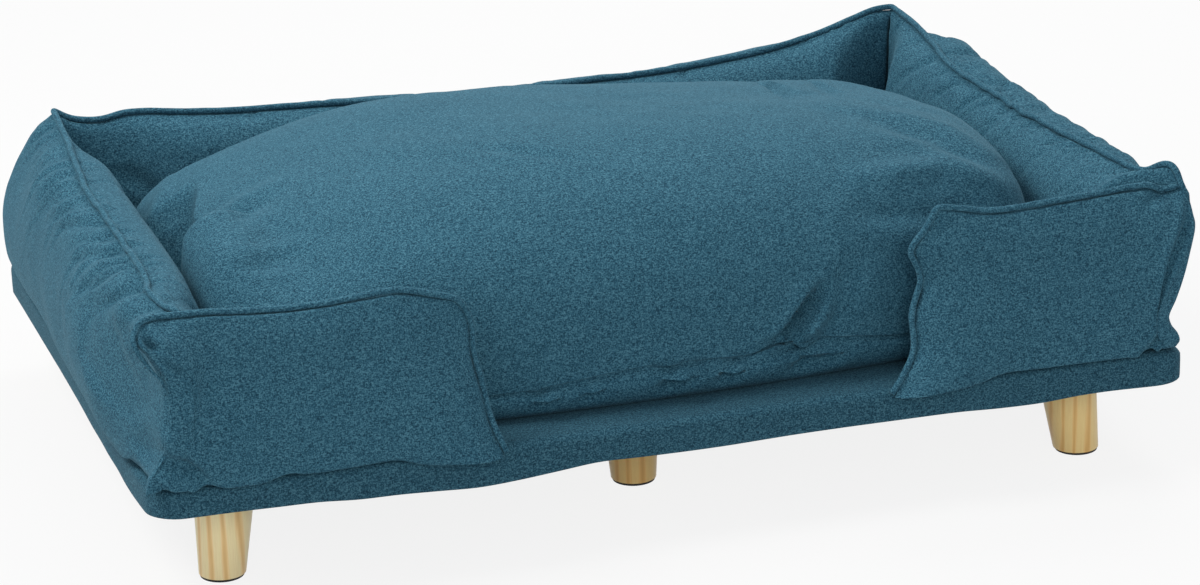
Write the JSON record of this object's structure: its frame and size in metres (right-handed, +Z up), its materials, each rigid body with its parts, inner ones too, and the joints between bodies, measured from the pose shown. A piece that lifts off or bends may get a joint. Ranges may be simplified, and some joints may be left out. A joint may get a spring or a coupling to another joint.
{
  "type": "dog sofa bed",
  "caption": "Raised sofa bed for a dog: padded platform on splayed wooden legs, bolster ring open at the front, and a plump loose cushion with a zipped cover.",
  "frame": {"origin": "on the floor, under the middle of the platform", "axes": "+X along the open front to the viewer's right, +Y from the open front towards the back, +Z up"},
  "size_m": [1, 0.7, 0.315],
  "materials": {
    "upholstery": "heathered woven cloth",
    "dust_cloth": "thin black non-woven cloth",
    "fibre": "soft white fibre",
    "foam": "open foam",
    "board": "raw plywood",
    "leg_wood": "clear satin lacquer on pale pine",
    "black_felt": "matte",
    "zinc_steel": "zinc plated",
    "hook_tape": "nylon hooks",
    "loop_tape": "nylon loops",
    "zip_cloth": "woven tape",
    "zip_nylon": "nylon coil",
    "zip_metal": "die-cast zinc"
  },
  "bodies": {
    "base": {"base_board": "board", "base_foam": "foam", "base_cover": "upholstery", "dust_cover": "dust_cloth", "cover_staples": "zinc_steel", "tee_nuts": "zinc_steel", "hook_tapes": "hook_tape"},
    "bolt_front_left": {"bolt_front_left": "zinc_steel"},
    "leg_front_left": {"leg_front_left": "leg_wood", "pad_front_left": "black_felt"},
    "bolt_front_middle": {"bolt_front_middle": "zinc_steel"},
    "leg_front_middle": {"leg_front_middle": "leg_wood", "pad_front_middle": "black_felt"},
    "bolt_front_right": {"bolt_front_right": "zinc_steel"},
    "leg_front_right": {"leg_front_right": "leg_wood", "pad_front_right": "black_felt"},
    "bolt_back_left": {"bolt_back_left": "zinc_steel"},
    "leg_back_left": {"leg_back_left": "leg_wood", "pad_back_left": "black_felt"},
    "bolt_back_middle": {"bolt_back_middle": "zinc_steel"},
    "leg_back_middle": {"leg_back_middle": "leg_wood", "pad_back_middle": "black_felt"},
    "bolt_back_right": {"bolt_back_right": "zinc_steel"},
    "leg_back_right": {"leg_back_right": "leg_wood", "pad_back_right": "black_felt"},
    "bolster": {"bolster_back_cover": "upholstery", "bolster_left_cover": "upholstery", "bolster_right_cover": "upholstery", "bolster_front_left_cover": "upholstery", "bolster_front_right_cover": "upholstery", "bolster_back_filling": "fibre", "bolster_left_filling": "fibre", "bolster_right_filling": "fibre", "bolster_front_left_filling": "fibre", "bolster_front_right_filling": "fibre", "bolster_welt": "upholstery", "loop_tapes": "loop_tape"},
    "cushion": {"cushion_cover": "upholstery", "cushion_insert": "fibre", "zip_tapes": "zip_cloth", "zip_teeth": "zip_nylon", "zip_stops": "zip_metal"},
    "zip_slider": {"zip_slider": "zip_metal"},
    "zip_pull": {"zip_pull": "zip_metal"}
  },
  "joints": [
    {"name": "unscrew_travel_front_left", "type": "slide", "parent": "base", "child": "bolt_front_left", "axis": [0, 0, -1], "range_m": [0, 0.014]},
    {"name": "unscrew_turn_front_left", "type": "hinge", "parent": "bolt_front_left", "child": "leg_front_left", "pos_m": [-0.40398, -0.26102, 0.0865], "axis": [0, 0, 1], "range_deg": [0, 4032]},
    {"name": "unscrew_travel_front_middle", "type": "slide", "parent": "base", "child": "bolt_front_middle", "axis": [0, 0, -1], "range_m": [0, 0.014]},
    {"name": "unscrew_turn_front_middle", "type": "hinge", "parent": "bolt_front_middle", "child": "leg_front_middle", "pos_m": [0, -0.18152, 0.0865], "axis": [0, 0, 1], "range_deg": [0, 4032]},
    {"name": "unscrew_travel_front_right", "type": "slide", "parent": "base", "child": "bolt_front_right", "axis": [0, 0, -1], "range_m": [0, 0.014]},
    {"name": "unscrew_turn_front_right", "type": "hinge", "parent": "bolt_front_right", "child": "leg_front_right", "pos_m": [0.40398, -0.26102, 0.0865], "axis": [0, 0, 1], "range_deg": [0, 4032]},
    {"name": "unscrew_travel_back_left", "type": "slide", "parent": "base", "child": "bolt_back_left", "axis": [0, 0, -1], "range_m": [0, 0.014]},
    {"name": "unscrew_turn_back_left", "type": "hinge", "parent": "bolt_back_left", "child": "leg_back_left", "pos_m": [-0.40398, 0.26102, 0.0865], "axis": [0, 0, 1], "range_deg": [0, 4032]},
    {"name": "unscrew_travel_back_middle", "type": "slide", "parent": "base", "child": "bolt_back_middle", "axis": [0, 0, -1], "range_m": [0, 0.014]},
    {"name": "unscrew_turn_back_middle", "type": "hinge", "parent": "bolt_back_middle", "child": "leg_back_middle", "pos_m": [0, 0.18152, 0.0865], "axis": [0, 0, 1], "range_deg": [0, 4032]},
    {"name": "unscrew_travel_back_right", "type": "slide", "parent": "base", "child": "bolt_back_right", "axis": [0, 0, -1], "range_m": [0, 0.014]},
    {"name": "unscrew_turn_back_right", "type": "hinge", "parent": "bolt_back_right", "child": "leg_back_right", "pos_m": [0.40398, 0.26102, 0.0865], "axis": [0, 0, 1], "range_deg": [0, 4032]},
    {"name": "bolster_lift", "type": "slide", "parent": "base", "child": "bolster", "axis": [0, 0, 1], "range_m": [0, 0.25]},
    {"name": "cushion_lift", "type": "slide", "parent": "base", "child": "cushion", "axis": [0, 0, 1], "range_m": [0, 0.3]},
    {"name": "zip_travel", "type": "slide", "parent": "cushion", "child": "zip_slider", "axis": [-1, 0, 0], "range_m": [0, 0.54]},
    {"name": "pull_swing", "type": "hinge", "parent": "zip_slider", "child": "zip_pull", "pos_m": [0.27, 0.213, 0.165], "axis": [0, 0, 1], "range_deg": [0, 180]}
  ],
  "couplings": [
    {"joint": "unscrew_travel_front_left", "follows": "unscrew_turn_front_left", "m_per_rad": 0.00019894},
    {"joint": "unscrew_travel_front_middle", "follows": "unscrew_turn_front_middle", "m_per_rad": 0.00019894},
    {"joint": "unscrew_travel_front_right", "follows": "unscrew_turn_front_right", "m_per_rad": 0.00019894},
    {"joint": "unscrew_travel_back_left", "follows": "unscrew_turn_back_left", "m_per_rad": 0.00019894},
    {"joint": "unscrew_travel_back_middle", "follows": "unscrew_turn_back_middle", "m_per_rad": 0.00019894},
    {"joint": "unscrew_travel_back_right", "follows": "unscrew_turn_back_right", "m_per_rad": 0.00019894}
  ]
}
